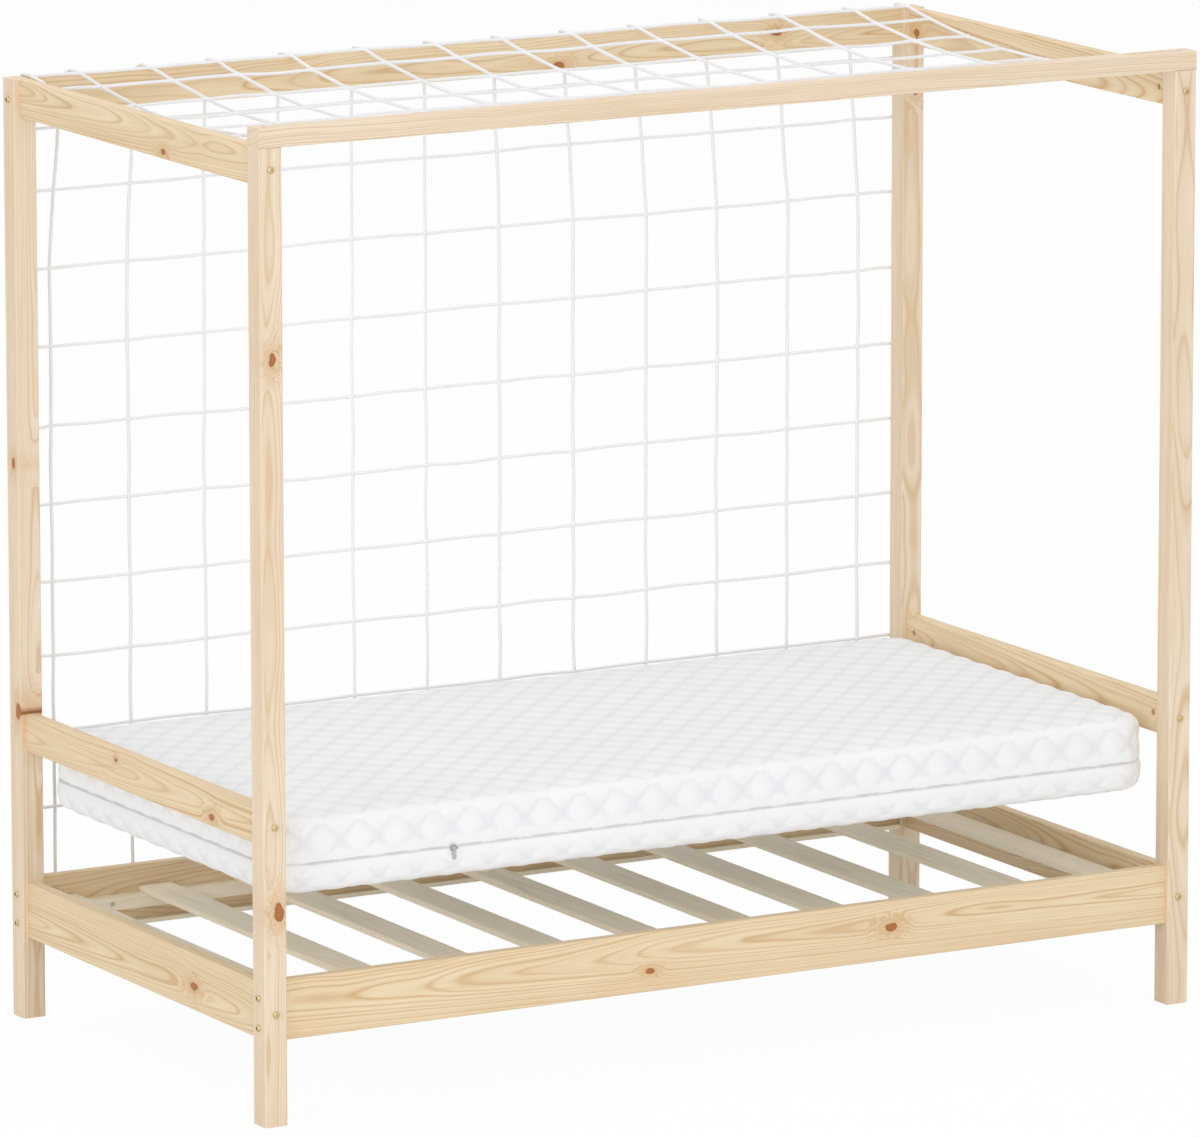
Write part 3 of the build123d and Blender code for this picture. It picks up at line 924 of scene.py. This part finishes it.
zipper = {
    "inset": 0.0030,
    "tape": colour(226, 227, 230),
    "tapeHeight": 0.0062,
    "tapeDepth": 0.004,
    "tapePitch": 0.01,
    "tapeRoughness": 0.8,
    "tapeShade": 0.85,
    "weaveScale": 400.0,
    "teeth": colour(230, 230, 232),
    "toothPitch": 0.0026,
    "toothSize": (0.0016, 0.0012, 0.0030),
    "toothProud": 0.0006,
    "toothLift": 0.0006,
    "toothRoughness": 0.45,
    "toothShade": 0.8,
    "toothStops": (0.3, 0.7),
    "fleckScale": 300.0,
    "fleckDetail": 2.0,
    "nickel": colour(205, 205, 205),
    "nickelRoughness": 0.25,
}


# Places round a rounded rectangle at an even pitch, each with its outward direction
def roundedPath(halfX, halfY, radius, pitch):
    straights = (2 * (halfX - radius), 2 * (halfY - radius))
    arc = math.pi / 2 * radius
    total = 2 * sum(straights) + 4 * arc
    count = int(total / pitch)
    path = []
    for step in range(count):
        gone = total * step / count
        for side in range(4):
            straight = straights[side % 2]
            reachA, reachB = (halfX, halfY) if side % 2 == 0 else (halfY, halfX)
            turn = Matrix.Rotation(side * math.pi / 2, 4, "Z")
            if gone < straight:
                path.append((turn @ Vector((gone - straight / 2, -reachB, 0)), turn @ Vector((0, -1, 0))))
                break
            gone -= straight
            if gone < arc:
                angle = gone / radius
                outward = Vector((math.sin(angle), -math.cos(angle), 0))
                path.append((turn @ (Vector((reachA - radius, radius - reachB, 0)) + outward * radius),
                             turn @ outward))
                break
            gone -= arc
    return path


def zipPath(values, form, pitch):
    halfX, halfY = form["length"] / 2 - values["inset"], form["width"] / 2 - values["inset"]
    return roundedPath(halfX, halfY, form["corner"], pitch)


def makeTape(values, form):
    material, tree, shader = newMaterial("zip_tape", Roughness=values["tapeRoughness"])
    settings = {"Vector": objectPlace(tree), "Scale": values["weaveScale"]}
    weave = addNode(tree, "TexWave", settings, bands_direction="DIAGONAL").outputs[1]
    dark = darker(values["tape"], values["tapeShade"])
    setTint(tree, shader, ramp(tree, weave, (0.0, dark), (1.0, values["tape"])))
    bm = bmesh.new()
    loops = []
    for place, outward in zipPath(values, form, values["tapePitch"]):
        corners = []
        for inward, lift in ((0, -0.5), (0, 0.5), (1, 0.5), (1, -0.5)):
            at = place - outward * inward * values["tapeDepth"]
            corners.append(bm.verts.new((at.x, at.y, form["zipHeight"] + lift * values["tapeHeight"])))
        loops.append(corners)
    for first, second in zip(loops, loops[1:] + loops[:1]):
        for corner in range(4):
            following = (corner + 1) % 4
            bm.faces.new((first[corner], second[corner], second[following], first[following]))
    piece = makePiece("zip_tape", bm, material, "mattress", smooth=False)
    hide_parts("mattress_zip")


def makeTeeth(values, form):
    material, tree, shader = newMaterial("zip_teeth", Roughness=values["toothRoughness"])
    flecks = addNoise(tree, objectPlace(tree), values["fleckScale"], values["fleckDetail"])
    darkAt, paleAt = values["toothStops"]
    dark = darker(values["teeth"], values["toothShade"])
    setTint(tree, shader, ramp(tree, flecks, (darkAt, dark), (paleAt, values["teeth"])))
    bm = bmesh.new()
    for number, (place, outward) in enumerate(zipPath(values, form, values["toothPitch"])):
        turn = Matrix.Rotation(math.atan2(outward.y, outward.x) + math.pi / 2, 4, "Z")
        lift = values["toothLift"] if number % 2 else -values["toothLift"]
        spot = place + outward * values["toothProud"] + Vector((0, 0, form["zipHeight"] + lift))
        matrix = Matrix.Translation(spot) @ turn @ Matrix.Diagonal((*values["toothSize"], 1.0))
        bmesh.ops.create_cube(bm, size=1.0, matrix=matrix)
    piece = makePiece("zip_teeth", bm, material, "mattress", smooth=False)


makeTape(zipper, mattress)
makeTeeth(zipper, mattress)
nickel = metal("nickel", zipper["nickel"], zipper["nickelRoughness"])
assign(nodes["zip_slider"], nickel)
assign(nodes["zip_pull"], nickel)
print("house bed: zip")


# Stage: a pale floor, a white surround and soft lamps

stage = {
    "floorSize": 30.0,
    "floorTint": colour(250, 250, 250),
    "floorRoughness": 0.9,
    "floorWhite": 0.955,
    "white": colour(255, 255, 255),
    "worldStrength": 0.62,
    "lamps": (
        ("key", (-2.0, -8.0, 2.4), 4.0, 160.0),
        ("left", (-8.0, -2.0, 2.6), 4.0, 115.0),
        ("top", (0.0, 0.5, 6.5), 5.0, 115.0),
    ),
    "lampTarget": (0, 0, 0.7),
}


# To the camera the floor is nearly plain white, with enough of itself left for a shadow
def makeFloor(values):
    bm = bmesh.new()
    bmesh.ops.create_grid(bm, x_segments=1, y_segments=1, size=values["floorSize"])
    mesh = bpy.data.meshes.new("floor")
    bm.to_mesh(mesh)
    bm.free()
    floor = bpy.data.objects.new("floor", mesh)
    bpy.context.scene.collection.objects.link(floor)
    material, tree, shader = newMaterial(
        "floor_white", Roughness=values["floorRoughness"], Base_Color=values["floorTint"])
    rays = addNode(tree, "LightPath")
    white = addNode(tree, "Emission", {"Color": values["white"], "Strength": 1.0})
    share = calc(tree, "MULTIPLY", rays.outputs["Is Camera Ray"], values["floorWhite"])
    mix = addNode(tree, "MixShader", {0: share, 1: shader.outputs[0], 2: white.outputs[0]})
    tree.links.new(mix.outputs[0], tree.nodes["Material Output"].inputs["Surface"])
    assign(floor, material)


# The surround is white to the camera and in reflections, and dimmer as a light
def makeLights(values):
    world = bpy.data.worlds.new("surround")
    bpy.context.scene.world = world
    world.use_nodes = True
    tree = world.node_tree
    ambient = tree.nodes["Background"]
    ambient.inputs["Color"].default_value = values["white"]
    ambient.inputs["Strength"].default_value = values["worldStrength"]
    seen = addNode(tree, "Background", {"Color": values["white"], "Strength": 1.0})
    rays = addNode(tree, "LightPath")
    mirrored = calc(tree, "MAXIMUM", rays.outputs["Is Glossy Ray"], rays.outputs["Is Transmission Ray"])
    direct = calc(tree, "MAXIMUM", rays.outputs["Is Camera Ray"], mirrored)
    mix = addNode(tree, "MixShader", {0: direct, 1: ambient.outputs[0], 2: seen.outputs[0]})
    tree.links.new(mix.outputs[0], tree.nodes["World Output"].inputs["Surface"])
    for name, place, size, power in values["lamps"]:
        lamp = bpy.data.lights.new(name, "AREA")
        lamp.size = size
        lamp.energy = power
        holder = bpy.data.objects.new(name, lamp)
        holder.location = place
        aim = Vector(values["lampTarget"]) - Vector(place)
        holder.rotation_euler = aim.to_track_quat("-Z", "Y").to_euler()
        bpy.context.scene.collection.objects.link(holder)


makeFloor(stage)
makeLights(stage)
bpy.context.scene.view_settings.view_transform = "Standard"
print("house bed: stage")
